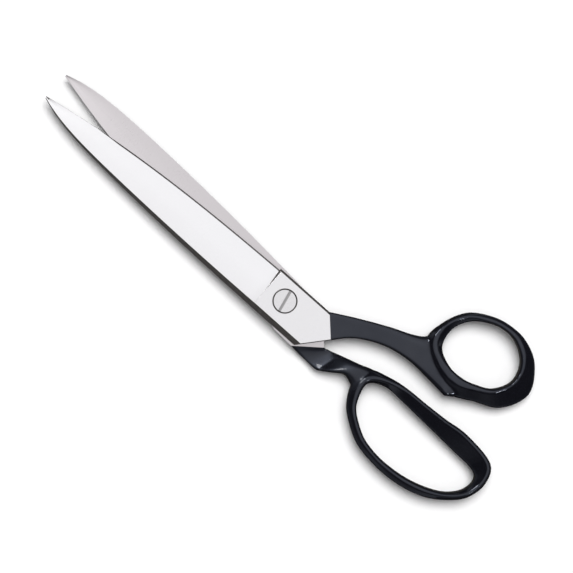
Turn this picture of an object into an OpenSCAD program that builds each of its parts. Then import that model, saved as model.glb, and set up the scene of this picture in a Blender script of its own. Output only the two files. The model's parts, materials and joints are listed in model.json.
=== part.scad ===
// Industrial bent fabric shears: two forged halves on one pivot screw.
// Frame: origin on the pivot axis at the resting plane, +Z up through the screw head.
// The finger half is the fixed one, and its closed blade points along +X.

/* [Blades] */
// Pivot axis to the blade tips
blade_reach = 165; // [155:1:175]
// Pivot axis to the heel step, where each blade's ground face begins
heel_x = 12.6; // [11:0.1:14]
// Cutting edge's distance from the blade's long axis at the heel
edge_offset = 10.2; // [9:0.1:11]
// Blade thickness at the pivot
blade_t = 5; // [4.5:0.1:5.5]
// Blade thickness along the spine at the tip
tip_t = 2.3; // [2.1:0.1:2.8]
// Depth of the heel step at the cutting edge
heel_step = 1.2; // [0.6:0.1:1.4]
// Width of the bevel along the spine at the pivot
spine_bevel_w = 2.9; // [2:0.1:3.2]
// Depth of the bevel along the spine at the pivot
spine_bevel_d = 1.7; // [1:0.1:2]

/* [Laid cutting edges] */
// Width of the tool-steel strip on each inner face
strip_w = 8; // [6:0.5:9]
// Thickness of the strip
strip_t = 1.5; // [1.2:0.1:1.6]
// Height of the narrow land on the very edge
edge_land = 0.35; // [0.2:0.05:0.5]
// Width of the cutting bevel
edge_bevel_w = 2.2; // [1.5:0.1:2.5]

/* [Pivot] */
// Height of the plane where the two halves slide on each other
ride_z = 7.5; // [7.5:0.1:8]
// Clearance between the two ride faces
ride_gap = 0.05; // [0.02:0.01:0.1]
// How far the hollow ground inner face of each blade stands back from the ride plane
hollow = 0.15; // [0.1:0.01:0.2]
// Radius of the pivot screw's shank
screw_r = 3.5; // [3:0.1:4]
// Radial clearance of the shank in the thumb half
screw_fit = 0.05; // [0.02:0.01:0.1]
// Radius of the screw head
head_r = 5.9; // [5.5:0.1:6]
// Thickness of the screw head
head_t = 1.75; // [1.5:0.05:2]
// Radial gap round the sunk head
head_gap = 0.4; // [0.3:0.05:0.5]
// Width of the driver slot
slot_w = 1.4; // [1:0.1:1.8]
// Depth of the driver slot
slot_d = 0.9; // [0.6:0.1:1.1]
// Direction of the driver slot, in degrees from the closed blades
slot_angle = 106; // [0:1:179]
// Nut size across flats
nut_flats = 10.5; // [10:0.5:11]
// Thickness of the lock washer
washer_t = 0.8; // [0.6:0.1:1]
// Depth of the spot face that the washer sits in
spot_d = 1; // [0.8:0.1:1.2]

/* [Bows] */
// Half height of the thumb bow's thickest section
thumb_bow_h = 6.7; // [5.5:0.1:7]
// Half height of the finger bow's thickest section
finger_bow_h = 7.2; // [6:0.1:7.3]
// Thickness of the enamel coat
enamel_t = 0.3; // [0.2:0.05:0.4]

/* [Pose] */
// Opening at rest, in degrees
rest_open = 5.3; // [0:0.1:60]

/* [Hidden] */

half_gap = ride_gap / 2;
head_z = ride_z + blade_t;
nut_t = ride_z - blade_t + spot_d - washer_t;
spot_r = nut_flats / sqrt(3) + 0.8;
washer_r = spot_r - 0.5;

// Blade spines: y = (a + b x - c x^2), rounded down to the tip
thumb_spine = [13.5, -0.012, 2.43e-4];
finger_spine = [11, 0.012, 2.88e-4];
tip_half = 0.4;

// Stations along a blade, closer together towards the tip
blade_steps = 22;
blade_xs = [for (i = [0 : blade_steps])
    heel_x + (blade_reach - heel_x) * (1 - pow(1 - i / blade_steps, 1.35))];

// Pivot blocks in plan, y towards the spine of their own half
thumb_block = [[heel_x, -11.5], [heel_x, 13.8], [-18.6, 14.4], [-18.6, 11.4], [-31.5, 0],
               [-21.5, -10.8]];
finger_block = [[heel_x, -10.8], [heel_x, 11.6], [-18.6, 11.4], [-18.6, 8.5], [-31.8, -2.4],
                [-19, -14.1], [-6.8, -14.4]];

// Necks: [point on the upper side, point on the lower side, bottom z, top z, squareness]
thumb_neck = [
    [[-31.5, 0], [-21.5, -10.8], 7.55, 12.5, 12],
    [[-38.5, -7.3], [-31.5, -16.2], 7, 12.5, 9],
    [[-47, -12.7], [-42, -21.4], 5.6, 12.5, 6],
    [[-58, -16.8], [-52.5, -26.2], 4.2, 12.5, 5],
    [[-71, -18.6], [-62, -30], 3, 12.6, 4],
    [[-84, -17.6], [-68.2, -34], 2.4, 12.8, 4],
    [[-96, -16.4], [-70.6, -40.5], 2.4, 12.8, 4]];
finger_neck = [
    [[-19, 14.1], [-31.8, 2.4], 2.5, 7.45, 12],
    [[-30, 14], [-36.5, 0.8], 2.5, 7.45, 9],
    [[-38.3, 13], [-42, -1.4], 2.3, 8.8, 5],
    [[-43.8, 8.8], [-47, -3.4], 1.9, 11.2, 4],
    [[-49, 4.8], [-52.2, -5.4], 1.5, 12.8, 3],
    [[-54, 5.4], [-57.5, -7.8], 1.3, 13, 3],
    [[-58.4, 7.5], [-62.5, -8], 1.5, 12.8, 3]];
// Each core's first section, set inside its block in place of the neck's own
thumb_root = [[-28.8, 1], [-20.3, -8.6], 7.9, 12.15, 12];
finger_root = [[-19.3, 12.6], [-28, 4], 2.85, 7.1, 12];

// Bows: [inner point, outer point, half height as a share of the thickest section]
thumb_bow = [
    [[-75.6, -45.6], [-70.8, -45.6], 0.86],
    [[-78, -35], [-68.8, -33.5], 0.94],
    [[-87.5, -30], [-82.5, -22], 1],
    [[-96.5, -29], [-96.5, -18.6], 1],
    [[-104.7, -31.5], [-109, -24.5], 0.97],
    [[-112.5, -36.5], [-122, -31], 0.97],
    [[-117.5, -45.6], [-128.6, -45.6], 1],
    [[-114, -55.5], [-120.7, -59.7], 0.94],
    [[-105.5, -61.3], [-108.5, -66], 0.86],
    [[-96.5, -62.2], [-96.5, -66.6], 0.82],
    [[-88.3, -60], [-86.2, -63.7], 0.8],
    [[-81, -54.6], [-77, -57], 0.82]];
finger_bow = [
    [[-60.5, 2.4], [-55, 3.9], 0.9],
    [[-62.1, 7.5], [-56.3, 9.6], 0.86],
    [[-64.8, 11.8], [-61, 14.4], 0.83],
    [[-72, 17.1], [-69.4, 20.6], 0.8],
    [[-81, 21.1], [-79.8, 25.2], 0.8],
    [[-91.7, 22.4], [-91.5, 26.4], 0.8],
    [[-102.2, 21.5], [-102.6, 25.9], 0.8],
    [[-112.5, 19.2], [-113.8, 23.3], 0.82],
    [[-122.4, 15.2], [-124.6, 18.4], 0.84],
    [[-130.5, 9.7], [-134.2, 11.4], 0.88],
    [[-135.4, 3], [-139.8, 3.6], 0.92],
    [[-136.7, -3], [-141.6, -4], 0.96],
    [[-134.8, -6.5], [-140.3, -12.2], 1],
    [[-131, -8.2], [-135.4, -17.6], 1],
    [[-126, -8.3], [-126.7, -19.6], 1],
    [[-117.8, -8.1], [-116.7, -18.9], 1],
    [[-104.7, -7.9], [-103.9, -17.2], 0.98],
    [[-91.5, -7.5], [-90.7, -15.5], 0.96],
    [[-78.4, -7.1], [-77.7, -14], 0.94],
    [[-70.5, -6.4], [-68.5, -11.8], 0.92],
    [[-64.9, -4.3], [-59.3, -8.6], 0.9],
    [[-61.5, -1.1], [-55.6, -3], 0.9]];
bow_squareness = 2.3;
bow_points = 12;
thumb_rings = 48;
finger_rings = 66;

function mix(a, b, t) = a + (b - a) * t;
function tip_fade(x) = 1 - pow(max(x, 0) / blade_reach, 14);
function spine_y(s, x) = (s[0] + s[1] * x - s[2] * x * x) * tip_fade(x) + tip_half;
function edge_y(x) = -edge_offset * (1 - pow(max(x, 0) / blade_reach, 2.8)) - tip_half;
function along(x) = max(x, 0) / blade_reach;

// Heights above the ride plane
function spine_top(x) = mix(blade_t, tip_t, along(x));
function edge_top(x) = mix(blade_t - heel_step, tip_t - 0.4, along(x));

// Widths that shrink with the blade's own width
function blade_w(s, x) = spine_y(s, x) - edge_y(x);
function strip_width(s, x) = min(strip_w, 0.45 * blade_w(s, x));
function bevel_width(s, x) = min(edge_bevel_w, 0.2 * blade_w(s, x));
function spine_fade(x) = pow(1 - 0.97 * along(x), 0.6);
function bevel_at_strip(s, x) =
    bevel_width(s, x) * (strip_t - edge_land) / (edge_top(x) - edge_land);

// A blade's section behind its laid strip, from the ride face round over the outer face
function blade_section(s, x) = [
    [x, edge_y(x) + strip_width(s, x), hollow],
    [x, edge_y(x) + strip_width(s, x), strip_t],
    [x, edge_y(x) + bevel_at_strip(s, x), strip_t],
    [x, edge_y(x) + bevel_width(s, x), edge_top(x)],
    [x, spine_y(s, x) - min(spine_bevel_w * spine_fade(x), 0.3 * blade_w(s, x)), spine_top(x)],
    [x, spine_y(s, x), spine_top(x) - spine_bevel_d * spine_fade(x)],
    [x, spine_y(s, x), hollow]];

function strip_section(s, x) = [
    [x, edge_y(x), half_gap],
    [x, edge_y(x), edge_land],
    [x, edge_y(x) + bevel_at_strip(s, x), strip_t],
    [x, edge_y(x) + strip_width(s, x), strip_t],
    [x, edge_y(x) + strip_width(s, x), hollow]];

// Rounded section between two plan points, as a superellipse of n points
function power_part(v, p) = sign(v) * pow(abs(v), p);
function oval(a, b, z_low, z_high, e, grow, n) =
    let (mid = (a + b) / 2, dir = (b - a) / norm(b - a),
         w = norm(b - a) / 2 + grow, h = (z_high - z_low) / 2 + grow)
    [for (i = [0 : n - 1])
        let (t = 360 * (i + 0.5) / n, u = w * power_part(cos(t), 2 / e))
        [mid[0] + dir[0] * u, mid[1] + dir[1] * u,
         (z_high + z_low) / 2 + h * power_part(sin(t), 2 / e)]];

// Periodic Catmull-Rom curve through the rows of a station table
function curve(p, q, r, s, t) = 0.5 * ((2 * q) + (r - p) * t + (2 * p - 5 * q + 4 * r - s) * t * t
    + (3 * q - p - 3 * r + s) * t * t * t);
function at(rows, k, i, t) = let (n = len(rows))
    curve(rows[(i + n - 1) % n][k], rows[i % n][k], rows[(i + 1) % n][k], rows[(i + 2) % n][k], t);
function bow_sections(rows, rings, h, grow) = [for (j = [0 : rings - 1])
    let (u = j * len(rows) / rings, i = floor(u), t = u - i, half = h * at(rows, 2, i, t))
    oval(at(rows, 0, i, t), at(rows, 1, i, t), ride_z - half, ride_z + half, bow_squareness,
         grow, bow_points)];
function core_rows(root, rows) = [root, each [for (i = [1 : len(rows) - 1]) rows[i]]];
function neck_sections(rows, grow) = [for (r = rows) oval(r[1], r[0], r[2], r[3], r[4], grow, 16)];

// Joins sections of equal length into one closed solid
module loft(sections, closed = false) {
    m = len(sections);
    n = len(sections[0]);
    points = [for (s = sections) for (p = s) p];
    walls = [for (j = [0 : (closed ? m - 1 : m - 2)]) for (i = [0 : n - 1])
        let (a = j * n + i, b = j * n + (i + 1) % n,
             c = ((j + 1) % m) * n + (i + 1) % n, d = ((j + 1) % m) * n + i)
        each [[a, b, c], [a, c, d]]];
    caps = closed ? [] : [[for (i = [n - 1 : -1 : 0]) i], [for (i = [0 : n - 1]) (m - 1) * n + i]];
    polyhedron(points, concat(walls, caps));
}

// Wedge that cuts the bevel along a block's spine, from point p back to point q
module spine_cut(p, q) {
    run = norm(q - p) + 2;
    translate([p[0], p[1], blade_t]) rotate([0, 0, atan2(q[1] - p[1], q[0] - p[0])])
        translate([-1, 0, 0]) rotate([90, 0, 90]) linear_extrude(run)
            polygon([[spine_bevel_w, 0], [spine_bevel_w, 1], [-1, 1],
                     [-1, -spine_bevel_d * (1 + 1 / spine_bevel_w)]]);
}

// Steel of one blade and its pivot block, standing on the ride plane
module blade_half(spine, block) {
    inset = heel_x - 1;
    loft([blade_section(spine, inset), each [for (x = blade_xs) blade_section(spine, x)]]);
    difference() {
        translate([0, 0, half_gap]) linear_extrude(blade_t - half_gap) polygon(block);
        spine_cut(block[1], block[2]);
    }
}

module strip(spine) loft([for (x = blade_xs) strip_section(spine, x)]);

// Finger half's blade parts lie under the ride plane, turned over about the long axis
module under() translate([0, 0, ride_z]) rotate([180, 0, 0]) children();
module over() translate([0, 0, ride_z]) children();
module thumb_pose() rotate([0, 0, rest_open]) children();

module finger_handle(grow) {
    loft(bow_sections(finger_bow, finger_rings, finger_bow_h, grow), closed = true);
    loft(neck_sections(grow < 0 ? core_rows(finger_root, finger_neck) : finger_neck, grow));
}

module thumb_handle(grow) {
    loft(bow_sections(thumb_bow, thumb_rings, thumb_bow_h, grow), closed = true);
    loft(neck_sections(grow < 0 ? core_rows(thumb_root, thumb_neck) : thumb_neck, grow));
}

module finger_forging() color("gainsboro") {
    difference() {
        union() {
            under() blade_half(finger_spine, finger_block);
            finger_handle(-enamel_t);
        }
        cylinder(r = screw_r, h = ride_z + 1, $fn = 64);
        cylinder(r = spot_r, h = ride_z - blade_t + spot_d, $fn = 64);
    }
}

module finger_cutting_edge() color("silver") under() strip(finger_spine);

module finger_bow_enamel() color("black") difference() {
    finger_handle(0);
    finger_handle(-enamel_t);
}

module pivot_screw() color("silver") {
    difference() {
        union() {
            cylinder(r = screw_r, h = head_z - 0.1, $fn = 64);
            translate([0, 0, head_z - head_t]) cylinder(r = head_r, h = head_t, $fn = 64);
        }
        rotate([0, 0, slot_angle]) translate([-head_r - 1, -slot_w / 2, head_z - slot_d])
            cube([2 * head_r + 2, slot_w, slot_d + 1]);
    }
}

module lock_washer() color("dimgray") translate([0, 0, nut_t]) {
    difference() {
        cylinder(r = washer_r, h = washer_t, $fn = 64);
        translate([0, 0, -1]) cylinder(r = screw_r + 0.1, h = washer_t + 2, $fn = 64);
        rotate([0, 0, 30]) translate([0, -0.4, -1]) cube([washer_r + 1, 0.8, washer_t + 2]);
    }
}

module pivot_nut() color("dimgray") difference() {
    cylinder(d = nut_flats / cos(30), h = nut_t, $fn = 6);
    translate([0, 0, -1]) cylinder(r = screw_r, h = nut_t + 2, $fn = 64);
}

module thumb_forging() color("gainsboro") thumb_pose() {
    difference() {
        union() {
            over() blade_half(thumb_spine, thumb_block);
            thumb_handle(-enamel_t);
        }
        translate([0, 0, ride_z - 1])
            cylinder(r = screw_r + screw_fit, h = blade_t + 2, $fn = 64);
        translate([0, 0, head_z - head_t - ride_gap])
            cylinder(r = head_r + head_gap, h = head_t + 1, $fn = 64);
    }
}

module thumb_cutting_edge() color("silver") thumb_pose() over() strip(thumb_spine);

module thumb_bow_enamel() color("black") thumb_pose() difference() {
    thumb_handle(0);
    thumb_handle(-enamel_t);
}

finger_forging();
finger_cutting_edge();
finger_bow_enamel();
pivot_screw();
lock_washer();
pivot_nut();
thumb_forging();
thumb_cutting_edge();
thumb_bow_enamel();
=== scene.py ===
# %% [markdown]
# # Industrial bent fabric shears
# A pair of big tailor's shears is two forged steel halves on one screw. Each half is a ground blade,
# a flat pivot block, a neck and a bow, and the neck and bow are dipped in black enamel.
#
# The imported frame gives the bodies, the hinge and the outer box. Everything drawn here goes where the
# frame says, in metres, and each new piece stands for one of the frame's nodes.

# %% Load the frame
import json
import math

import bmesh
import bpy
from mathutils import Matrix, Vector


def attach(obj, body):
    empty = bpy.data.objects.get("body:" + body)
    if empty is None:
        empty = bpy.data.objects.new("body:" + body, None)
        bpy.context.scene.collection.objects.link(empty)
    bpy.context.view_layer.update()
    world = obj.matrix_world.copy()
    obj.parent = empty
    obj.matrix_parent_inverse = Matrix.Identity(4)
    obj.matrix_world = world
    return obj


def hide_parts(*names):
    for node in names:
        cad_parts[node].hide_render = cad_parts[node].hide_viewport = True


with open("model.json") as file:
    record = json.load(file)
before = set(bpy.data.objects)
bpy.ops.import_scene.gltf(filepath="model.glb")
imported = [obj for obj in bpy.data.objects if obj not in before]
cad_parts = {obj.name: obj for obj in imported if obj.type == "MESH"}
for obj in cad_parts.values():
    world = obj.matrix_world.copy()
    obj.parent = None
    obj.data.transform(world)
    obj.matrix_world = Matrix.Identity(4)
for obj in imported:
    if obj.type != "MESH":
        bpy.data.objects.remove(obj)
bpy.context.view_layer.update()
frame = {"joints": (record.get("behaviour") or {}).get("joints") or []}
MM = 0.001
pivot = frame["joints"][0]
rest_open = -pivot["range_deg"][0]
print("the blades stand", rest_open, "degrees open at rest")

# %% [markdown]
# ## Camera
# The shears lie flat and are seen from straight above. A long lens from far away keeps the two blades
# parallel to the eye, as a product picture does. The camera is turned about its own line of sight so
# that the blades point to the upper left.

# %% Camera
VIEW_WIDTH = 300.7 * MM
LENS = 150
AIM = (4.9 * MM, -5.9 * MM)
CAMERA_TURN = -134.2
RIDE = 7.5
TOP = 12.5
ride_plane = RIDE * MM

sensor = 36
camera_height = ride_plane + VIEW_WIDTH / 2 / (sensor / 2 / LENS)
bpy.ops.object.camera_add(location=(*AIM, camera_height), rotation=(0, 0, math.radians(CAMERA_TURN)))
camera = bpy.context.object
camera.data.lens = LENS
camera.data.sensor_width = sensor
camera.data.clip_start = 0.05
camera.data.clip_end = 20
bpy.context.scene.camera = camera
print("camera height", round(camera_height, 3), "m")

# %% [markdown]
# ## Working habits
# An operator acts on everything that is selected, and the frame's nodes start out selected. So each
# step starts by dropping the selection. These small helpers are the moves a modeller repeats: start
# a piece, finish a modifier, slice with a plane, join two solids.

# %% Helpers for objects
def drop_selection():
    """Nothing selected, and object mode."""
    if bpy.context.object and bpy.context.object.mode != "OBJECT":
        bpy.ops.object.mode_set(mode="OBJECT")
    bpy.ops.object.select_all(action="DESELECT")


def pick(piece):
    """Only this piece is selected and active."""
    drop_selection()
    piece.select_set(True)
    bpy.context.view_layer.objects.active = piece
    return piece


def named(name):
    """Names the piece that was just added."""
    piece = bpy.context.object
    piece.name = name
    piece.data.name = name
    return piece


def apply_place(piece):
    """Puts the piece's place in its mesh, so that the object sits at the origin."""
    pick(piece)
    bpy.ops.object.transform_apply(location=True, rotation=True, scale=True)


def finish_modifier(piece, kind, **settings):
    """Adds one modifier, sets it and applies it."""
    pick(piece)
    bpy.ops.object.modifier_add(type=kind)
    modifier = piece.modifiers[-1]
    for key, value in settings.items():
        setattr(modifier, key, value)
    bpy.ops.object.modifier_apply(modifier=modifier.name)


def combine(piece, other, operation):
    """Boolean of two closed solids. The second one is used up."""
    finish_modifier(piece, "BOOLEAN", operation=operation, object=other, solver="EXACT")
    pick(other)
    bpy.ops.object.delete()


# %% Helpers for edit mode
def slice_off(piece, point, normal):
    """Cuts the piece with a plane and closes the cut. What the normal points to is thrown away."""
    pick(piece)
    bpy.ops.object.mode_set(mode="EDIT")
    bpy.ops.mesh.select_all(action="SELECT")
    bpy.ops.mesh.bisect(plane_co=point, plane_no=Vector(normal).normalized(), use_fill=True,
                        clear_outer=True, threshold=0.0001 * MM)
    bpy.ops.object.mode_set(mode="OBJECT")


def tidy_normals(piece):
    """Merges doubles, then turns all faces outwards."""
    pick(piece)
    bpy.ops.object.mode_set(mode="EDIT")
    bpy.ops.mesh.select_all(action="SELECT")
    bpy.ops.mesh.remove_doubles(threshold=0.002 * MM)
    bpy.ops.mesh.normals_make_consistent(inside=False)
    bpy.ops.object.mode_set(mode="OBJECT")


def smooth(piece, degrees):
    """Smooth shading, with the edges sharper than this angle kept crisp."""
    pick(piece)
    bpy.ops.object.shade_smooth_by_angle(angle=math.radians(degrees))


def break_edges(piece, width, angle, segments=2):
    """A small round on every sharp edge, with the flat faces kept flat in the shading."""
    finish_modifier(piece, "BEVEL", width=width * MM, segments=segments, limit_method="ANGLE",
                    angle_limit=math.radians(angle))
    smooth(piece, 60)
    finish_modifier(piece, "WEIGHTED_NORMAL", mode="FACE_AREA", weight=80, keep_sharp=True)


def turn_to_rest(piece):
    """The thumb half is drawn closed, then swung open to its rest pose about the pivot."""
    pick(piece)
    piece.rotation_euler = (0, 0, math.radians(rest_open))
    apply_place(piece)


def turn_under(piece):
    """The finger half's blade is drawn like the thumb's, then rolled over about its long axis."""
    pick(piece)
    piece.rotation_euler = (math.pi, 0, 0)
    piece.location = (0, 0, 2 * ride_plane)
    apply_place(piece)


# %% [markdown]
# ## Skinning sections
# Blades, necks and bows all change their section along their length. By hand that is done in edit
# mode: a ring of vertices is added for each station, pushed to the section's shape, and neighbouring
# rings are bridged. A blade is open at both ends, so its end rings are filled, and a bow closes on
# itself, so its last ring is bridged to its first.

# %% Skin a run of sections
def skin(name, sections, ring):
    """One closed mesh through the sections, each a list of points in millimetres."""
    count = len(sections[0])
    drop_selection()
    bpy.ops.mesh.primitive_circle_add(vertices=count, radius=MM, location=(0, 0, 0))
    piece = named(name)
    bpy.ops.object.mode_set(mode="EDIT")
    for _ in sections[1:]:
        bpy.ops.mesh.primitive_circle_add(vertices=count, radius=MM, location=(0, 0, 0))
    mesh = bmesh.from_edit_mesh(piece.data)
    mesh.verts.ensure_lookup_table()
    for i, section in enumerate(sections):
        for j, point in enumerate(section):
            mesh.verts[i * count + j].co = Vector(point) * MM
    bmesh.update_edit_mesh(piece.data)
    bpy.ops.mesh.select_all(action="SELECT")
    bpy.ops.mesh.bridge_edge_loops(type="CLOSED" if ring else "SINGLE")
    bpy.ops.mesh.select_all(action="SELECT")
    bpy.ops.mesh.fill_holes(sides=0)
    bpy.ops.object.mode_set(mode="OBJECT")
    tidy_normals(piece)
    print(name, len(sections), "sections,", len(piece.data.polygons), "faces")
    return piece


# %% [markdown]
# ## Blade sections
# A shear blade is ground, so its section is made of flat facets: a hollow inner face that only touches
# the other blade at its edge, a narrow cutting bevel, a broad outer face that thins towards the edge,
# and a bevel along the spine. All of them follow the same two outlines, the cutting edge and the
# spine, which are simple curves that meet at the tip.

# %% Blade outlines and heights
REACH = 165
HEEL = 12.6
BLADE_THICK = 5
TIP_THICK = 2.3
HEEL_STEP = 1.2
HEEL_SLOPE = 48
EDGE_CHAMFER = (1.1, 1.25)
END_CHAMFER = (0.45, 0.5)
STRIP_WIDE = 8
STRIP_THICK = 1.5
LAND = 0.35
RIDE_GAP = 0.025
HOLLOW = 0.22
TIP_HALF = 0.4
SPINE_BEVEL = (2.9, 1.7)
THUMB_SPINE = (13.5, -0.012, 2.43e-4)
FINGER_SPINE = (11.0, 0.012, 2.88e-4)


def along(x):
    return max(x, 0) / REACH


def spine_y(spine, x):
    a, b, c = spine
    return (a + b * x - c * x * x) * (1 - along(x) ** 14) + TIP_HALF


def edge_y(x):
    return -10.2 * (1 - along(x) ** 2.8) - TIP_HALF


def spine_top(x):
    past_heel = (x - HEEL) / (REACH - HEEL)
    return min(BLADE_THICK + (TIP_THICK - BLADE_THICK) * past_heel, BLADE_THICK - 0.04)


def edge_top(x):
    return BLADE_THICK - HEEL_STEP + (TIP_THICK - 0.4 - BLADE_THICK + HEEL_STEP) * along(x)


def hollow_at(share):
    """How far the inner face stands back, from the edge (0) to the spine (1)."""
    return RIDE_GAP + HOLLOW * math.sin(math.pi * min(max(share, 0), 1))


# %% One blade section and one strip section
def widths(spine, x):
    """Blade width, strip width, cutting bevel width, the bevel where the strip ends, spine bevel."""
    wide = spine_y(spine, x) - edge_y(x)
    strip = min(STRIP_WIDE, 0.45 * wide)
    bevel = min(0.1 + 0.65 * min(max((0.8 - along(x)) / 0.08, 0), 1), 0.2 * wide)
    at_strip = bevel * (STRIP_THICK - LAND) / (edge_top(x) - LAND)
    fade = (1 - 0.97 * along(x)) ** 0.6
    return wide, strip, bevel, at_strip, min(SPINE_BEVEL[0] * fade, 0.3 * wide), SPINE_BEVEL[1] * fade


def blade_section(spine, x):
    wide, strip, bevel, at_strip, back_w, back_d = widths(spine, x)
    edge, back = edge_y(x), spine_y(spine, x)
    low, high = edge_top(x), spine_top(x)
    outer = [(edge + bevel, low)]
    for share, rise in ((0.3, 0.56), (0.6, 0.97)):
        outer.append((edge + bevel + share * (wide - bevel - back_w), low + rise * (high - low)))
    inner = [1 - k * (1 - strip / wide) / 5 for k in range(6)]
    profile = [(edge + strip, STRIP_THICK), (edge + at_strip, STRIP_THICK)] + outer
    profile += [(back - back_w, high), (back, high - back_d)]
    profile += [(edge + share * wide, hollow_at(share)) for share in inner]
    return [(x, y, RIDE + z) for y, z in profile]


def strip_section(spine, x):
    wide, strip, bevel, at_strip, _, _ = widths(spine, x)
    edge = edge_y(x)
    profile = [(edge, RIDE_GAP), (edge, LAND), (edge + at_strip, STRIP_THICK), (edge + strip, STRIP_THICK)]
    profile += [(edge + share * strip, hollow_at(share * strip / wide)) for share in (1, 0.66, 0.33)]
    return [(x, y, RIDE + z) for y, z in profile]


# %% [markdown]
# ## Pivot block
# Behind the heel step the blade turns into a flat block that carries the screw. It starts as a cube
# of the block's size. Planes slice off its corners, as a grinder would, and one slanted slice makes
# the bevel along the spine. The blade is then united with it, and the bores are cut last.

# %% Make the steel of one half
def pivot_block(name, corners, bevel_line, chamfers):
    """A cube sliced along each (point, outward normal) in plan, then along its slanted edges."""
    drop_selection()
    bpy.ops.mesh.primitive_cube_add(size=1, location=(-10 * MM, 0, 9.5 * MM),
                                    scale=(60 * MM, 40 * MM, 6 * MM))
    block = named(name)
    apply_place(block)
    slice_off(block, (0, 0, (RIDE + RIDE_GAP) * MM), (0, 0, -1))
    for (x, y), (u, v) in corners:
        slice_off(block, (x * MM, y * MM, 0), (u, v, 0))
    (x0, y0), (x1, y1) = bevel_line
    run = Vector((x1 - x0, y1 - y0, 0)).normalized()
    up = Vector((0, 0, SPINE_BEVEL[0])) + SPINE_BEVEL[1] * Vector((-run.y, run.x, 0))
    slice_off(block, (x0 * MM, y0 * MM, TOP * MM), up)
    for (p, q), (wide, deep) in chamfers:
        (x0, y0), side = face_through(p, q)
        slice_off(block, (x0 * MM, y0 * MM, (TOP - deep) * MM),
                  Vector((*side, 0)).normalized() * deep + Vector((0, 0, wide)))
    heel = math.radians(HEEL_SLOPE)
    step_back = HEEL_STEP / math.tan(heel)
    slice_off(block, ((HEEL - step_back) * MM, 0, TOP * MM), (math.sin(heel), 0, math.cos(heel)))
    return block


def face_through(p, q):
    """A point and the outward normal of the plane through two plan points, walked anticlockwise."""
    (x0, y0), (x1, y1) = p, q
    return p, (y1 - y0, x0 - x1)


THUMB_PLAN = [(HEEL, -11.5), (HEEL, 13.8), (-18.6, 14.4), (-31.5, 0), (-21.5, -10.8)]
FINGER_PLAN = [(HEEL, -10.8), (HEEL, 11.6), (-18.6, 11.4), (-31.8, -2.4), (-19, -14.1), (-6.8, -14.4)]


BLADE_STEPS = 44


def stations_from_heel(first):
    """Places along the blade for its sections, closer together towards the tip."""
    return [HEEL + (REACH - HEEL) * (1 - (1 - i / BLADE_STEPS) ** 1.35)
            for i in range(first, BLADE_STEPS + 1)]


def blade_steel(name, spine, plan):
    """Blade and block of one half, drawn with the ride plane under it."""
    ends = zip(plan, plan[1:] + plan[:1])
    planes = [face_through(p, q) for p, q in ends]
    (x0, y0), (x1, y1) = plan[2], plan[1]
    bevel = ((x0, y0 - SPINE_BEVEL[0]), (x1, y1 - SPINE_BEVEL[0]))
    block = pivot_block(name + "_block", planes, bevel,
                        (((plan[-1], plan[0]), EDGE_CHAMFER), ((plan[2], plan[3]), END_CHAMFER)))
    # The first station is inside the block and none is right at the heel: the block ends there, and a
    # boolean leaves slivers where two planes coincide.
    stations = [HEEL - 3] + stations_from_heel(1)
    blade = skin(name, [blade_section(spine, x) for x in stations], ring=False)
    combine(blade, block, "UNION")
    return blade


def drill(piece, radius, low, high):
    """Cuts a round hole about the pivot axis, between two heights in millimetres."""
    drop_selection()
    bpy.ops.mesh.primitive_cylinder_add(vertices=96, radius=radius * MM, depth=(high - low) * MM,
                                        location=(0, 0, (high + low) / 2 * MM))
    combine(piece, named("drill"), "DIFFERENCE")


# %% Thumb half: blade and pivot block
SCREW_R = 3.5
HEAD_R = 5.9
HEAD_THICK = 1.75
HEAD_GAP = 0.4

thumb_blade = blade_steel("thumb_blade", THUMB_SPINE, THUMB_PLAN)
drill(thumb_blade, SCREW_R + 0.05, 6, 14)
drill(thumb_blade, HEAD_R + HEAD_GAP - 0.15, TOP - HEAD_THICK - 0.05, 14)
drop_selection()
bpy.ops.mesh.primitive_cone_add(vertices=96, radius1=(HEAD_R + HEAD_GAP - 0.35) * MM,
                                radius2=(HEAD_R + HEAD_GAP + 1.3) * MM, depth=1 * MM,
                                location=(0, 0, 12.6 * MM))
combine(thumb_blade, named("seat_cutter"), "DIFFERENCE")
turn_to_rest(thumb_blade)
break_edges(thumb_blade, 0.1, 25)

# %% Finger half: blade and pivot block
SPOT_R = 6.86
SPOT_DEEP = 1.0

finger_blade = blade_steel("finger_blade", FINGER_SPINE, FINGER_PLAN)
drill(finger_blade, SCREW_R, 6, 14)
drill(finger_blade, SPOT_R, TOP - SPOT_DEEP, 14)
turn_under(finger_blade)
break_edges(finger_blade, 0.1, 25)
print("steel faces", len(thumb_blade.data.polygons), len(finger_blade.data.polygons))

# %% [markdown]
# ## Laid cutting edges
# The cutting edge itself is a strip of harder tool steel, laid into the inner face and ground flush.
# It is skinned from the same two outlines as its blade, so it fills the blade's recess exactly.

# %% Both strips
def laid_edge(name, spine):
    piece = skin(name, [strip_section(spine, x) for x in stations_from_heel(0)], ring=False)
    smooth(piece, 20)
    return piece


thumb_edge = laid_edge("thumb_laid_edge", THUMB_SPINE)
turn_to_rest(thumb_edge)
finger_edge = laid_edge("finger_laid_edge", FINGER_SPINE)
turn_under(finger_edge)

# %% [markdown]
# ## Bows and necks
# A bow is a forged ring whose section changes all the way round: slim where it passes between the
# fingers, broad where the hand pushes. Each station gives the ring's inner and outer point in plan,
# its half height, the two places across it between which the crest is flat, and how much of the
# height is left at the inner and at the outer rim. Straight flanks run from the crest down to the
# rims. A smooth curve runs through the stations, and the rings between are bridged.
#
# The neck is a thick plate that leaves the block flush with it and swells towards the bow.

# %% Curves through stations
def blend4(p, q, r, s, t):
    """Catmull-Rom, the smooth curve that passes through its points."""
    return 0.5 * (2 * q + (r - p) * t + (2 * p - 5 * q + 4 * r - s) * t ** 2
                  + (3 * q - p - 3 * r + s) * t ** 3)


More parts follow.
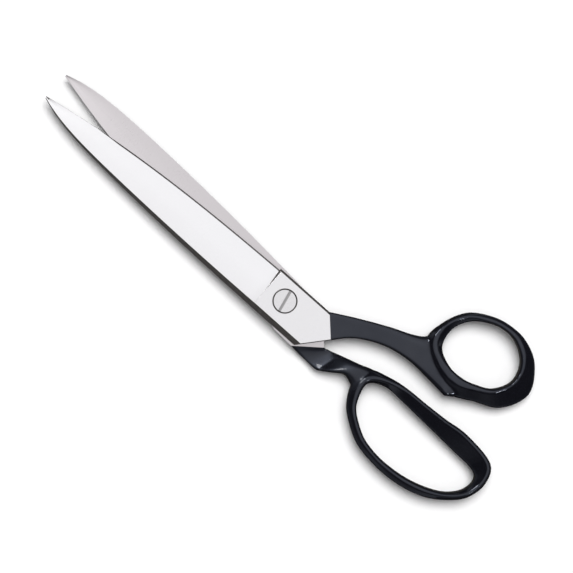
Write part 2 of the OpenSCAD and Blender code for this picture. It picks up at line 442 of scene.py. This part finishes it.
def row_between(rows, u, ring):
    """The station row at a fractional place u."""
    i, n = int(math.floor(u)), len(rows)
    four = [rows[(i + k) % n] if ring else rows[min(max(i + k, 0), n - 1)] for k in (-1, 0, 1, 2)]
    return [blend4(*values, u - i) for values in zip(*four)]


def power_part(value, power):
    return math.copysign(abs(value) ** power, value)


BOW_RING = 44


def evenly_round(corners, count):
    """Points at even steps round a closed outline."""
    lengths = [math.dist(p, q) for p, q in zip(corners, corners[1:] + corners[:1])]
    step = sum(lengths) / count
    points, side, start = [], 0, 0.0
    for k in range(count):
        want = (k + 0.5) * step
        while want > start + lengths[side]:
            start += lengths[side]
            side += 1
        p, q = corners[side], corners[(side + 1) % len(corners)]
        t = (want - start) / lengths[side]
        points.append((p[0] + (q[0] - p[0]) * t, p[1] + (q[1] - p[1]) * t))
    return points


def bow_section(row):
    """inner x, y, outer x, y, half height, crest from, crest to, inner rim, outer rim."""
    ix, iy, ox, oy, half, crest_in, crest_out, rim_in, rim_out = row
    wide = math.dist((ix, iy), (ox, oy)) / 2
    upper = [(1, rim_out), (crest_out, 1), (crest_in, 1), (-1, rim_in)]
    corners = [(u * wide, v * half) for u, v in upper + [(u, -v) for u, v in reversed(upper)]]
    middle = Vector(((ix + ox) / 2, (iy + oy) / 2, RIDE))
    across = Vector((ox - ix, oy - iy, 0)).normalized()
    return [tuple(middle + across * u + Vector((0, 0, v))) for u, v in evenly_round(corners, BOW_RING)]


def bow(name, rows, per_station):
    steps = len(rows) * per_station
    return skin(name, [bow_section(row_between(rows, k / per_station, True)) for k in range(steps)],
                ring=True)


# %% Necks
NECK_RING = 44


def neck_section(row):
    """upper point x, y, lower point x, y, bottom, top, squareness."""
    ax, ay, bx, by, low, high, square = row
    middle = Vector(((ax + bx) / 2, (ay + by) / 2, (low + high) / 2))
    reach = Vector(((ax - bx) / 2, (ay - by) / 2, 0))
    points = []
    for k in range(NECK_RING):
        t = 2 * math.pi * (k + 0.5) / NECK_RING
        u = power_part(math.cos(t), 2 / square)
        v = power_part(math.sin(t), 2 / square)
        points.append(tuple(middle + reach * u + Vector((0, 0, (high - low) / 2 * v))))
    return points


def neck(name, rows, per_station):
    steps = (len(rows) - 1) * per_station
    return skin(name, [neck_section(row_between(rows, k / per_station, False)) for k in range(steps + 1)],
                ring=False)


# %% [markdown]
# ## Enamelled handles
# Neck and bow overlap as two solids. A boolean union joins them with a hard crease, but enamel never
# leaves one: it runs into the corner and rounds it. A fine voxel remesh followed by a few rounds of
# smoothing does the same, and one last slice leaves a crisp line where the enamel stops at the steel.

# %% Join, melt together and trim
VOXEL = 0.38 * MM


def pool_in_corners(piece, corners):
    """Extra smoothing near a few points (x, y, z, reach), as wet enamel gathers in a corner."""
    group = piece.vertex_groups.new(name="pool")
    for vertex in piece.data.vertices:
        weight = max(1.3 * (1 - (vertex.co / MM - Vector(c[:3])).length / c[3]) for c in corners)
        if weight > 0:
            group.add([vertex.index], min(weight, 1.0), "REPLACE")
    finish_modifier(piece, "SMOOTH", factor=0.5, iterations=50, vertex_group="pool")
    piece.vertex_groups.clear()


def enamelled(name, ring_piece, other_pieces, stop, corners):
    """Union, remesh, smooth, then trim along the line between two plan points."""
    for other in other_pieces:
        combine(ring_piece, other, "UNION")
    piece = ring_piece
    piece.name = name
    finish_modifier(piece, "REMESH", mode="VOXEL", voxel_size=VOXEL, adaptivity=0)
    finish_modifier(piece, "SMOOTH", factor=0.5, iterations=6)
    pool_in_corners(piece, corners)
    point, normal = face_through(*stop)
    slice_off(piece, (point[0] * MM, point[1] * MM, 0), (normal[0], normal[1], 0))
    smooth(piece, 45)
    print(name, len(piece.data.polygons), "faces")
    return piece


# %% Thumb handle
THUMB_BOW = [
    (-76.2, -45.6, -70.6, -45.6, 5.8, 0.15, 0.55, 0.64, 0.6),
    (-78.3, -35.1, -69.6, -32.5, 6.3, -0.35, 0.2, 0.6, 0.6),
    (-87.5, -30, -82.5, -22, 6.7, -0.8, -0.1, 0.72, 0.52),
    (-96.5, -29.5, -96.5, -18.6, 6.7, -0.85, -0.25, 0.78, 0.36),
    (-104.7, -31.6, -109.2, -24.1, 6.6, -0.85, -0.4, 0.78, 0.42),
    (-113.1, -36.1, -122.4, -30.8, 6.6, -0.88, -0.66, 0.78, 0.18),
    (-118, -45.6, -129.2, -45.6, 6.7, -0.9, -0.74, 0.78, 0.14),
    (-114.8, -55.7, -121, -59.9, 6.3, -0.85, -0.45, 0.78, 0.46),
    (-105.9, -62.1, -108.7, -66.3, 5.8, -0.8, 0, 0.8, 0.72),
    (-96.5, -63, -96.5, -66.7, 5.5, -0.7, 0.1, 0.82, 0.78),
    (-88.3, -60.2, -86.2, -63.7, 5.4, -0.5, 0.2, 0.85, 0.75),
    (-80.7, -54.8, -76.6, -57.3, 5.5, -0.1, 0.4, 0.72, 0.7),
]
THUMB_NECK = [
    (-29.7, 2.1, -19.7, -9.3, 7.55, 12.47, 14),
    (-31.5, 0, -21.5, -10.8, 7.55, 12.47, 12),
    (-38.5, -7.3, -31.5, -16.2, 7, 12.47, 9),
    (-47, -12.7, -42, -21.4, 5.6, 12.47, 8),
    (-58, -16.8, -52.5, -26.2, 4.2, 12.5, 7),
    (-71, -18.4, -62, -30, 3, 12.5, 6),
    (-84, -17.6, -68.4, -34, 2.4, 12.6, 5),
    (-96, -16.4, -71.4, -39.5, 2.4, 12.6, 5),
]

THUMB_WEB = [
    (-94.5, -17, -88, -24, 3, 12.3, 5),
    (-96.4, -17, -91, -25, 3, 12.2, 5),
    (-100, -19.3, -96, -26, 3.6, 11.4, 4),
    (-104.5, -22.6, -102, -27.5, 4.5, 10.5, 3),
]

thumb_handle = enamelled("thumb_handle", bow("thumb_ring", THUMB_BOW, 6),
                         [neck("thumb_neck", THUMB_NECK, 4), neck("thumb_web", THUMB_WEB, 4)],
                         (THUMB_PLAN[4], THUMB_PLAN[3]),
                         [(-73, -31.5, 12.5, 4.6), (-79, -27.8, 12.5, 3), (-85, -23.8, 12.5, 3),
                          (-97.5, -21.6, 12.3, 4), (-101, -23.6, 12, 3.4)])
turn_to_rest(thumb_handle)

# %% Finger handle
FINGER_BOW = [
    (-61.2, 2.2, -55, 3.9, 6.5, -0.7, -0.1, 0.75, 0.66),
    (-65.4, 11.4, -61, 14.4, 6, -0.75, -0.2, 0.78, 0.67),
    (-72.3, 16.6, -69.4, 20.6, 5.8, -0.75, -0.2, 0.78, 0.68),
    (-81.2, 20.5, -79.8, 25.2, 5.8, -0.75, -0.2, 0.78, 0.68),
    (-91.7, 21.8, -91.5, 26.4, 5.8, -0.75, -0.2, 0.78, 0.68),
    (-102.2, 21, -102.6, 25.9, 5.8, -0.75, -0.2, 0.78, 0.68),
    (-112.3, 18.8, -113.9, 23.6, 5.9, -0.75, -0.2, 0.78, 0.68),
    (-122.2, 14.9, -125, 18.9, 6, -0.7, -0.15, 0.78, 0.68),
    (-130.4, 9.7, -134.2, 11.4, 6.3, -0.6, 0, 0.78, 0.7),
    (-135.7, 2.5, -140.3, 3.1, 6.6, -0.3, 0.3, 0.7, 0.7),
    (-136.3, -5.1, -141.7, -8.3, 7, 0.1, 0.55, 0.67, 0.7),
    (-131.3, -8.6, -135.6, -17.9, 7.2, 0.6, 0.84, 0.3, 0.75),
    (-117.8, -8.4, -116.7, -19.5, 7.2, 0.7, 0.87, 0.18, 0.75),
    (-104.7, -8.1, -103.9, -17.3, 7, 0.68, 0.86, 0.34, 0.75),
    (-91.5, -7.7, -90.7, -15.5, 6.9, 0.65, 0.85, 0.44, 0.75),
    (-78.4, -7.3, -77.7, -14, 6.8, 0.5, 0.8, 0.56, 0.72),
    (-69.3, -6.5, -67.5, -11.5, 6.6, 0, 0.5, 0.65, 0.7),
    (-62.3, -2.6, -56.5, -6.5, 6.5, -0.5, 0, 0.72, 0.6),
]
FINGER_NECK = [
    (-16.5, 14.2, -29.4, 1.2, 2.53, 7.45, 14),
    (-19, 14.1, -31.8, 2.4, 2.53, 7.45, 12),
    (-24.5, 14.2, -34.2, 1.6, 2.5, 6.3, 10),
    (-30, 14, -36.8, 0.7, 2.5, 5.9, 9),
    (-36.4, 13.7, -40.4, -0.8, 2.4, 7.4, 7),
    (-39, 12.5, -42.4, -1.6, 2.3, 8.6, 6),
    (-43.8, 8.8, -47, -3.4, 1.9, 11.2, 4),
    (-49, 4.8, -52.2, -5.4, 1.5, 12.6, 3.5),
    (-54, 5.4, -57.5, -7.8, 1.3, 13, 3),
    (-58.4, 7.2, -62.5, -8, 1.5, 12.8, 3),
]

finger_handle = enamelled("finger_handle", bow("finger_ring", FINGER_BOW, 5),
                          [neck("finger_neck", FINGER_NECK, 4)], ((-31.8, 2.4), (-19, 14.1)),
                          [(-56.3, 5.6, 12.8, 3), (-56.2, 0, 12.8, 3), (-59.6, -7, 12.8, 3)])

# %% [markdown]
# ## Pivot screw, washer and nut
# The screw is turned from bar: a flat head with a broken edge, sunk flush, and a sawn slot. Its end
# comes out below, through a split spring washer and a six-sided nut that lock it.

# %% Pivot screw
SLOT_WIDE = 1.4
SLOT_DEEP = 0.9
SLOT_TURN = 106

drop_selection()
bpy.ops.mesh.primitive_cylinder_add(vertices=96, radius=HEAD_R * MM, depth=HEAD_THICK * MM,
                                    location=(0, 0, (TOP - HEAD_THICK / 2) * MM))
screw = named("slotted_screw")
bpy.ops.mesh.primitive_cylinder_add(vertices=96, radius=SCREW_R * MM, depth=11.5 * MM,
                                    location=(0, 0, 5.75 * MM))
combine(screw, named("shank"), "UNION")
bpy.ops.mesh.primitive_cube_add(size=1, location=(0, 0, TOP * MM), rotation=(0, 0, math.radians(SLOT_TURN)),
                                scale=(15 * MM, SLOT_WIDE * MM, 2 * SLOT_DEEP * MM))
saw = named("saw")
apply_place(saw)
combine(screw, saw, "DIFFERENCE")
apply_place(screw)
break_edges(screw, 0.25, 50, 1)

# %% Split washer
WASHER_R = 6.36
WASHER_THICK = 0.8
NUT_THICK = 2.7

drop_selection()
bpy.ops.mesh.primitive_cylinder_add(vertices=96, radius=WASHER_R * MM, depth=WASHER_THICK * MM,
                                    location=(0, 0, (NUT_THICK + WASHER_THICK / 2) * MM))
washer = named("split_washer")
drill(washer, SCREW_R + 0.1, 1, 5)
drop_selection()
bpy.ops.mesh.primitive_cube_add(size=1, location=(5 * MM, 3 * MM, 3 * MM),
                                rotation=(0, 0, math.radians(38)), scale=(8 * MM, 0.8 * MM, 4 * MM))
gap = named("gap")
apply_place(gap)
combine(washer, gap, "DIFFERENCE")
apply_place(washer)
break_edges(washer, 0.08, 50)

# %% Six-sided nut
NUT_FLATS = 10.5

drop_selection()
bpy.ops.mesh.primitive_cylinder_add(vertices=6, radius=NUT_FLATS / math.sqrt(3) * MM, depth=NUT_THICK * MM,
                                    location=(0, 0, NUT_THICK / 2 * MM), rotation=(0, 0, math.radians(30)))
nut = named("hex_nut")
apply_place(nut)
drop_selection()
bpy.ops.mesh.primitive_cone_add(vertices=96, radius1=(NUT_FLATS / 2 - 0.05) * MM,
                                radius2=(NUT_FLATS / 2 + 5) * MM, depth=3 * MM, location=(0, 0, 1.5 * MM))
chamfer = named("chamfer")
combine(nut, chamfer, "INTERSECT")
drill(nut, SCREW_R, -1, 4)
break_edges(nut, 0.08, 50)
print("screw, washer and nut faces", [len(p.data.polygons) for p in (screw, washer, nut)])

# %% [markdown]
# ## Shader maths as plain expressions
# A material is easier to read as a formula than as a web of nodes. This class wraps one socket: its
# operators add Math nodes, and one method adds any other node.

# %% The socket wrapper
class Shade:
    """One output socket of a material's node tree."""

    def __init__(self, tree, socket):
        self.tree = tree
        self.socket = socket

    def node(self, kind, settings=None, output=0, **inputs):
        """Any node: its settings are set first, then its sockets' values or links."""
        made = self.tree.nodes.new(kind)
        for key, value in (settings or {}).items():
            if key == "stops":
                fill_ramp(made.color_ramp, value)
            else:
                setattr(made, key, value)
        for key, value in inputs.items():
            spot = made.inputs[int(key[1:])] if key[0] == "i" and key[1:].isdigit() else made.inputs[
                key.replace("_", " ")]
            if isinstance(value, Shade):
                self.tree.links.new(value.socket, spot)
            else:
                spot.default_value = value
        return Shade(self.tree, made.outputs[output])

    def maths(self, operation, a, b):
        return self.node("ShaderNodeMath", {"operation": operation}, i0=a, i1=b)

    def __add__(self, other):
        return self.maths("ADD", self, other)

    def __radd__(self, other):
        return self.maths("ADD", other, self)

    def __sub__(self, other):
        return self.maths("SUBTRACT", self, other)

    def __rsub__(self, other):
        return self.maths("SUBTRACT", other, self)

    def __mul__(self, other):
        return self.maths("MULTIPLY", self, other)

    def __rmul__(self, other):
        return self.maths("MULTIPLY", other, self)

    def clamped(self, low, high, new_low=0.0, new_high=1.0):
        """Maps low..high to new_low..new_high and stops there."""
        return self.node("ShaderNodeMapRange", i0=self, i1=low, i2=high, i3=new_low, i4=new_high)

    def mix(self, first, second):
        """This value chooses between two colours."""
        return self.node("ShaderNodeMix", {"data_type": "RGBA"}, output=2, i0=self, i6=first, i7=second)


def fill_ramp(ramp, stops):
    """Colour ramp stops as (place, colour)."""
    while len(ramp.elements) > len(stops):
        ramp.elements.remove(ramp.elements[-1])
    while len(ramp.elements) < len(stops):
        ramp.elements.new(1.0)
    for element, (place, colour) in zip(ramp.elements, stops):
        element.position = place
        element.color = colour


def new_finish(name):
    """An empty finish: its material, its main shader and a starting socket with the object's place."""
    material = bpy.data.materials.new(name)
    material.use_nodes = True
    tree = material.node_tree
    shader = tree.nodes["Principled BSDF"]
    place = tree.nodes.new("ShaderNodeTexCoord")
    return material, shader, Shade(tree, place.outputs["Object"])


def feed(shader, **links):
    """Links shades to the shader's inputs, by name with _ for a space."""
    for key, value in links.items():
        value.tree.links.new(value.socket, shader.inputs[key.replace("_", " ")])


# %% [markdown]
# ## Ground and polished steel
# The blades are ground across their width, then polished and plated, so the scratches that are left
# run across the blade and only just show. A noise stretched along one direction of the piece gives
# them. A second, broad noise makes the polish a little uneven, which keeps a big flat face alive.

# %% Steel finishes
def across_grain(place, turn, fine, coarse):
    """Noise squeezed along the blade and stretched across it."""
    turned = place.node("ShaderNodeMapping", Vector=place, Rotation=(0, 0, math.radians(turn)))
    squeezed = place.node("ShaderNodeMapping", Vector=turned, Scale=(fine, coarse, coarse))
    return place.node("ShaderNodeTexNoise", Vector=squeezed, Scale=1.0, Detail=4.0, Roughness=0.6)


def sunk_near_pivot(place, depth):
    """1 in the screw's gap and slot: close to the pivot axis and below the top face. The mask for the
    painted shade and dirt there.
    """
    flat = place.node("ShaderNodeVectorMath", {"operation": "MULTIPLY"}, i0=place, i1=(1.0, 1.0, 0.0))
    out = place.node("ShaderNodeVectorMath", {"operation": "LENGTH"}, output=1, i0=flat)
    up = place.node("ShaderNodeSeparateXYZ", output=2, Vector=place)
    near = out.clamped(6.6 * MM, 6.65 * MM, 1.0, 0.0)
    return near * up.clamped((TOP - depth) * MM, (TOP - depth / 2) * MM, 1.0, 0.0)


GRAIN = 0.5


def steel(name, colour, dark, rough, turn):
    material, shader, place = new_finish(name)
    shader.inputs["Metallic"].default_value = 1.0
    fine = across_grain(place, turn, 9000, 500)
    cloud = place.node("ShaderNodeTexNoise", Vector=place, Scale=60.0, Detail=3.0)
    streak = fine.clamped(0.35, 0.65)
    far = place.node("ShaderNodeSeparateXYZ", output=0, Vector=place)
    # Painted light: from the heel on, the blade is painted brighter than the pivot block, for the brighter
    # reflection it catches.
    painted_blade_light = far.clamped(11 * MM, 16 * MM, 0.0, 0.45)
    tone = (streak * GRAIN + cloud * 0.3 + painted_blade_light - 0.1).clamped(0.0, 0.75)
    # Painted shade and dirt: the gap round the screw head is painted nearly black.
    gap_shade_and_grime = sunk_near_pivot(place, 0.06)
    feed(shader,
         Base_Color=gap_shade_and_grime.mix(tone.mix(dark, colour), (0.05, 0.045, 0.04, 1)),
         Roughness=(streak * 0.05 + cloud * 0.08 + gap_shade_and_grime * 0.4 + (rough - 0.06)),
         Normal=place.node("ShaderNodeBump", Height=fine, Strength=0.03, Distance=0.00002))
    return material


POLISHED = ((0.95, 0.947, 0.955, 1), (0.86, 0.853, 0.86, 1), 0.24)
FINE_GROUND = ((0.72, 0.688, 0.697, 1), (0.64, 0.612, 0.62, 1), 0.3)
blade_finish = steel("polished_steel", *POLISHED, -rest_open)
lower_finish = steel("polished_steel_finger", *POLISHED, 0)
inner_finish = steel("ground_inner_face", *FINE_GROUND, 0)
inner_thumb = steel("ground_inner_face_thumb", *FINE_GROUND, -rest_open)

# %% [markdown]
# ## Black enamel
# Baked enamel is a glossy, slightly wavy black coat. The colour is nearly black with a trace of blue,
# a fine bump gives the orange peel that bends its reflections, and a clear coat gives the wet gloss.

# %% Enamel finish
def enamel():
    material, shader, place = new_finish("black_enamel")
    shader.inputs["Coat Roughness"].default_value = 0.03
    shader.inputs["Specular Tint"].default_value = (0.72, 0.8, 1.0, 1)
    peel = place.node("ShaderNodeTexNoise", Vector=place, Scale=420.0, Detail=2.0)
    wave = place.node("ShaderNodeTexNoise", Vector=place, Scale=70.0, Detail=2.0)
    dust = place.node("ShaderNodeTexNoise", Vector=place, Scale=1500.0, Detail=3.0)
    speck = dust.clamped(0.6, 0.8)
    spots = [place.node("ShaderNodeVectorMath", {"operation": "DISTANCE"}, output=1, i0=place, i1=spot)
             for spot in ((-0.029, 0.0075, 0.0065), (-0.05, 0.002, 0.0115))]
    away = spots[0].maths("MINIMUM", spots[0], spots[1])
    dull = away.clamped(7 * MM, 14 * MM, 1.0, 0.0)
    feed(shader,
         Base_Color=(wave * 0.6 + speck * 0.4).mix((0.003, 0.003, 0.005, 1), (0.006, 0.0065, 0.01, 1)),
         Roughness=(wave * 0.06 + speck * 0.08 + dull * (dust * 0.3 + 0.14) + 0.07),
         Coat_Weight=wave.clamped(0.3, 0.7, 0.3, 0.5),
         Normal=place.node("ShaderNodeBump", Height=(peel * 0.4 + wave), Strength=0.12, Distance=0.0003))
    return material


enamel_finish = enamel()

# %% [markdown]
# ## Small steel parts
# The screw head is turned, so its marks are circles about its axis. A wave texture of rings about
# the pivot axis gives them, and painted shade and dirt darken its slot and the gap round its head.
# Washer and nut are darker, oiled steel. The same recipe, darker and rougher, is painted on the
# blades' bevels and sloping faces as painted shade, for the dark reflection they take from the room.

# %% Turned and oiled steel
def turned_steel(name, light, dark, rough, gap_shade_and_grime_share):
    material, shader, place = new_finish(name)
    shader.inputs["Metallic"].default_value = 1.0
    rings = place.node("ShaderNodeTexWave", {"wave_type": "RINGS", "rings_direction": "Z"}, output=1,
                       Vector=place, Scale=900.0, Distortion=1.5, Detail=2.0)
    cloud = place.node("ShaderNodeTexNoise", Vector=place, Scale=400.0, Detail=4.0)
    # Painted shade and dirt: the screw's slot and the gap round its head are painted nearly black.
    gap_shade_and_grime = sunk_near_pivot(place, 0.5) * gap_shade_and_grime_share
    feed(shader,
         Base_Color=gap_shade_and_grime.mix((rings * 0.5 + cloud * 0.5).mix(dark, light), (0.05, 0.045, 0.04, 1)),
         Roughness=(rings * 0.08 + cloud * 0.1 + gap_shade_and_grime * 0.3 + (rough - 0.08)),
         Normal=place.node("ShaderNodeBump", Height=rings, Strength=0.05, Distance=0.00002))
    return material


screw_finish = turned_steel("screw_steel", (0.9, 0.895, 0.9, 1), (0.76, 0.755, 0.76, 1), 0.26, 0.5)
# Painted shade: the next two finishes colour the bevels dark, for the dark reflection they take from the
# room.
cutting_bevel_shade = turned_steel("cutting_bevel_painted_shade", (0.2, 0.19, 0.18, 1), (0.1, 0.095, 0.09, 1), 0.45, 0.0)
sloping_face_shade = turned_steel("sloping_face_painted_shade", (0.38, 0.36, 0.345, 1), (0.26, 0.247, 0.237, 1), 0.28, 0.0)
oiled_finish = turned_steel("oiled_steel", (0.36, 0.355, 0.35, 1), (0.2, 0.195, 0.19, 1), 0.35, 0.0)

# %% Put the finishes on
def dress(piece, finish):
    piece.data.materials.clear()
    piece.data.materials.append(finish)


def dress_bevels(piece, up):
    """Painted shade, chosen by slope: one dark, rough finish on the steep cutting bevel, one on the spine
    bevel and chamfers.
    """
    piece.data.materials.append(cutting_bevel_shade)
    piece.data.materials.append(sloping_face_shade)
    last = len(piece.data.materials) - 1
    for face in piece.data.polygons:
        rise = face.normal.z * up
        if 0.5 < rise < 0.93:
            face.material_index = last
        elif 0.1 < rise <= 0.5 and -face.normal.y * up > 0.8:
            face.material_index = last - 1


def dress_ride_face(piece, finish, up):
    """Gives the inner, ground face of a blade its own finish, chosen by its normal and height."""
    piece.data.materials.append(finish)
    for face in piece.data.polygons:
        inner = abs(face.center.z - ride_plane) < 0.6 * MM
        if inner and face.normal.z * up > 0.9:
            face.material_index = 1


for piece, finish in ((thumb_blade, blade_finish), (finger_blade, lower_finish),
                      (thumb_edge, inner_thumb), (finger_edge, inner_finish),
                      (thumb_handle, enamel_finish), (finger_handle, enamel_finish),
                      (screw, screw_finish), (washer, oiled_finish), (nut, oiled_finish)):
    dress(piece, finish)
dress_ride_face(thumb_blade, inner_thumb, -1)
dress_ride_face(finger_blade, inner_finish, 1)
for piece, up in ((thumb_blade, 1), (thumb_edge, 1), (finger_blade, -1), (finger_edge, -1)):
    dress_bevels(piece, up)

# %% [markdown]
# ## Floor and light
# The shears lie on a plain white sheet. The sky is bright overhead, dark below that, and lit again
# near the horizon, like a big soft box above a table in a pale room: flat polished faces mirror the
# bright part and look white, and bevels mirror the dark part and look dark. One soft lamp from the
# side of the cutting edges gives the short soft shadow along the other side. Two small bright windows
# are only there to be mirrored: they put the white glints in the corners of the enamel.

# %% Floor
drop_selection()
bpy.ops.mesh.primitive_plane_add(size=6, location=(0, 0, -0.02 * MM))
floor = named("table_sheet")
floor_finish, floor_shader, floor_place = new_finish("white_sheet")
paper = floor_place.node("ShaderNodeTexNoise", Vector=floor_place, Scale=300.0, Detail=3.0)
floor_shader.inputs["Roughness"].default_value = 0.9
floor_shader.inputs["Specular IOR Level"].default_value = 0.1
feed(floor_shader, Base_Color=paper.mix((0.9, 0.9, 0.9, 1), (0.93, 0.93, 0.93, 1)))
dress(floor, floor_finish)
floor.visible_glossy = False

# %% Sky
def from_top(degrees):
    return math.cos(math.radians(degrees))


world = bpy.data.worlds.new("studio")
world.use_nodes = True
bpy.context.scene.world = world
sky = world.node_tree
sky_place = Shade(sky, sky.nodes.new("ShaderNodeTexCoord").outputs["Generated"])
soft_box = Vector((0.0, -0.16, 1)).normalized()
height = sky_place.node("ShaderNodeVectorMath", {"operation": "DOT_PRODUCT"}, output=1,
                        i0=sky_place, i1=tuple(soft_box))
glow = height.node("ShaderNodeValToRGB", {"stops": [
    (0.0, (0.045, 0.042, 0.04, 1)),
    (from_top(88), (0.4, 0.4, 0.41, 1)),
    (from_top(79), (0.34, 0.34, 0.345, 1)),
    (from_top(71), (0.05, 0.047, 0.046, 1)),
    (from_top(56), (0.045, 0.041, 0.04, 1)),
    (from_top(45), (0.2, 0.195, 0.195, 1)),
    (from_top(36), (0.6, 0.595, 0.605, 1)),
    (from_top(20), (0.84, 0.835, 0.85, 1)),
    (from_top(8), (0.93, 0.925, 0.94, 1)),
    (1.0, (1.03, 1.03, 1.05, 1))]}, Fac=height)
sky.links.new(glow.socket, sky.nodes["Background"].inputs["Color"])


# %% Lamps
def lamp_from(kind, direction, **settings):
    """A lamp a metre and a half away in this direction, pointed at the shears."""
    drop_selection()
    place = Vector(direction).normalized() * 1.5
    bpy.ops.object.light_add(type=kind, location=place)
    made = bpy.context.object
    made.rotation_euler = place.to_track_quat("Z", "Y").to_euler()
    for key, value in settings.items():
        setattr(made.data, key, value)
    return made


key = lamp_from("SUN", (0.16, -0.32, 1), energy=2.6, angle=math.radians(32))
key.visible_glossy = False
for window in (lamp_from("AREA", (1.0, -0.08, 1.3), energy=5, size=0.34),
               lamp_from("AREA", (-1.0, 0.3, 1.1), energy=1.5, size=0.12)):
    window.visible_diffuse = False
bpy.context.scene.view_settings.view_transform = "Standard"

# %% [markdown]
# ## Pieces on their halves
# Every piece rides on its half of the shears and stands for its node, whose part from the frame is hidden.

# %% Ride and replace
HAND_OVER = [
    (thumb_blade, "thumb_half", "thumb_forging", "forged_steel"),
    (thumb_edge, "thumb_half", "thumb_cutting_edge", "tool_steel"),
    (thumb_handle, "thumb_half", "thumb_bow_enamel", "black_enamel"),
    (finger_blade, "finger_half", "finger_forging", "forged_steel"),
    (finger_edge, "finger_half", "finger_cutting_edge", "tool_steel"),
    (finger_handle, "finger_half", "finger_bow_enamel", "black_enamel"),
    (screw, "finger_half", "pivot_screw", "screw_steel"),
    (washer, "finger_half", "lock_washer", "dark_steel"),
    (nut, "finger_half", "pivot_nut", "dark_steel"),
]
for piece, body, node, slot in HAND_OVER:
    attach(piece, body)
    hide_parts(node)
